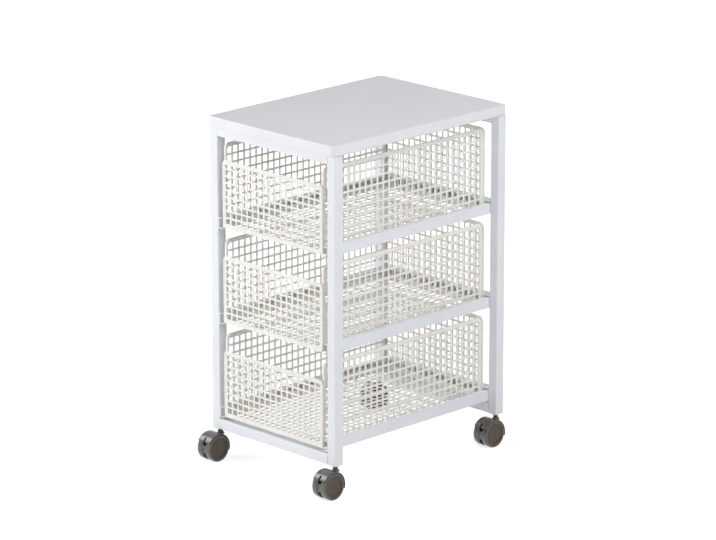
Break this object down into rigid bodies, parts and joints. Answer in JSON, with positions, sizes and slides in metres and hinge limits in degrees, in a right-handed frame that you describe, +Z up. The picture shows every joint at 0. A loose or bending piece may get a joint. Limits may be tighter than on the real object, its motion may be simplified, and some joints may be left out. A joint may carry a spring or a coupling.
{
  "type": "rolling kitchen cart",
  "caption": "Slim rolling kitchen cart with a flat white top on a square-tube frame, sliding cream mesh baskets and hooded twin-wheel swivel casters.",
  "frame": {"origin": "on the floor, in the middle of the whole cart with its casters", "axes": "+Z up, +X to the cart's right, baskets slide out towards -Y"},
  "size_m": [0.3334, 0.47, 0.647],
  "materials": {
    "frame_white": "satin powder coat, bluish white",
    "top_white": "board with a smooth satin lacquer, pale grey white",
    "basket_cream": "satin moulded, ivory",
    "runner_cream": "satin moulded, ivory",
    "nylon": "natural nylon",
    "hood_grey": "satin moulded, dark grey",
    "wheel_grey": "satin moulded, dark brownish grey",
    "socket_black": "matte moulded",
    "steel": "zinc plated"
  },
  "bodies": {
    "frame": {"top_panel": "top_white", "panel_screws": "steel", "caster_sockets": "socket_black", "rail_glides": "nylon", "leg_front_left": "frame_white", "leg_front_right": "frame_white", "leg_back_left": "frame_white", "leg_back_right": "frame_white", "top_rail_front": "frame_white", "top_rail_back": "frame_white", "low_rail_front": "frame_white", "low_rail_back": "frame_white", "slide_rails_bottom": "frame_white", "slide_rails_middle": "frame_white", "slide_rails_top": "frame_white", "stop_rail_bottom": "frame_white", "stop_rail_middle": "frame_white", "stop_rail_top": "frame_white"},
    "bottom_basket": {"bottom_basket_front": "basket_cream", "bottom_basket_left": "basket_cream", "bottom_basket_right": "basket_cream", "bottom_basket_back": "basket_cream", "bottom_basket_floor": "basket_cream", "bottom_basket_runners": "runner_cream", "bottom_basket_shoes": "nylon"},
    "middle_basket": {"middle_basket_front": "basket_cream", "middle_basket_left": "basket_cream", "middle_basket_right": "basket_cream", "middle_basket_back": "basket_cream", "middle_basket_floor": "basket_cream", "middle_basket_runners": "runner_cream", "middle_basket_shoes": "nylon"},
    "top_basket": {"top_basket_front": "basket_cream", "top_basket_left": "basket_cream", "top_basket_right": "basket_cream", "top_basket_back": "basket_cream", "top_basket_floor": "basket_cream", "top_basket_runners": "runner_cream", "top_basket_shoes": "nylon"},
    "front_left_caster": {"front_left_caster_hood": "hood_grey", "front_left_caster_stem": "steel", "front_left_caster_axle": "steel"},
    "front_left_caster_wheel_left": {"front_left_caster_wheel_left": "wheel_grey"},
    "front_left_caster_wheel_right": {"front_left_caster_wheel_right": "wheel_grey"},
    "front_right_caster": {"front_right_caster_hood": "hood_grey", "front_right_caster_stem": "steel", "front_right_caster_axle": "steel"},
    "front_right_caster_wheel_left": {"front_right_caster_wheel_left": "wheel_grey"},
    "front_right_caster_wheel_right": {"front_right_caster_wheel_right": "wheel_grey"},
    "back_left_caster": {"back_left_caster_hood": "hood_grey", "back_left_caster_stem": "steel", "back_left_caster_axle": "steel"},
    "back_left_caster_wheel_left": {"back_left_caster_wheel_left": "wheel_grey"},
    "back_left_caster_wheel_right": {"back_left_caster_wheel_right": "wheel_grey"},
    "back_right_caster": {"back_right_caster_hood": "hood_grey", "back_right_caster_stem": "steel", "back_right_caster_axle": "steel"},
    "back_right_caster_wheel_left": {"back_right_caster_wheel_left": "wheel_grey"},
    "back_right_caster_wheel_right": {"back_right_caster_wheel_right": "wheel_grey"}
  },
  "joints": [
    {"name": "bottom_basket_slide", "type": "slide", "parent": "frame", "child": "bottom_basket", "axis": [0, -1, 0], "range_m": [0, 0.335]},
    {"name": "middle_basket_slide", "type": "slide", "parent": "frame", "child": "middle_basket", "axis": [0, -1, 0], "range_m": [0, 0.335]},
    {"name": "top_basket_slide", "type": "slide", "parent": "frame", "child": "top_basket", "axis": [0, -1, 0], "range_m": [0, 0.335]},
    {"name": "front_left_swivel", "type": "hinge", "parent": "frame", "child": "front_left_caster", "pos_m": [-0.15, -0.192, 0.059], "axis": [0, 0, 1], "continuous": true},
    {"name": "front_left_roll_left", "type": "hinge", "parent": "front_left_caster", "child": "front_left_caster_wheel_left", "pos_m": [-0.15, -0.21, 0.025], "axis": [1, 0, 0], "continuous": true},
    {"name": "front_left_roll_right", "type": "hinge", "parent": "front_left_caster", "child": "front_left_caster_wheel_right", "pos_m": [-0.15, -0.21, 0.025], "axis": [1, 0, 0], "continuous": true},
    {"name": "front_right_swivel", "type": "hinge", "parent": "frame", "child": "front_right_caster", "pos_m": [0.15, -0.192, 0.059], "axis": [0, 0, 1], "continuous": true},
    {"name": "front_right_roll_left", "type": "hinge", "parent": "front_right_caster", "child": "front_right_caster_wheel_left", "pos_m": [0.15, -0.21, 0.025], "axis": [1, 0, 0], "continuous": true},
    {"name": "front_right_roll_right", "type": "hinge", "parent": "front_right_caster", "child": "front_right_caster_wheel_right", "pos_m": [0.15, -0.21, 0.025], "axis": [1, 0, 0], "continuous": true},
    {"name": "back_left_swivel", "type": "hinge", "parent": "frame", "child": "back_left_caster", "pos_m": [-0.15, 0.224, 0.059], "axis": [0, 0, 1], "continuous": true},
    {"name": "back_left_roll_left", "type": "hinge", "parent": "back_left_caster", "child": "back_left_caster_wheel_left", "pos_m": [-0.15, 0.206, 0.025], "axis": [1, 0, 0], "continuous": true},
    {"name": "back_left_roll_right", "type": "hinge", "parent": "back_left_caster", "child": "back_left_caster_wheel_right", "pos_m": [-0.15, 0.206, 0.025], "axis": [1, 0, 0], "continuous": true},
    {"name": "back_right_swivel", "type": "hinge", "parent": "frame", "child": "back_right_caster", "pos_m": [0.15, 0.224, 0.059], "axis": [0, 0, 1], "continuous": true},
    {"name": "back_right_roll_left", "type": "hinge", "parent": "back_right_caster", "child": "back_right_caster_wheel_left", "pos_m": [0.15, 0.206, 0.025], "axis": [1, 0, 0], "continuous": true},
    {"name": "back_right_roll_right", "type": "hinge", "parent": "back_right_caster", "child": "back_right_caster_wheel_right", "pos_m": [0.15, 0.206, 0.025], "axis": [1, 0, 0], "continuous": true}
  ]
}
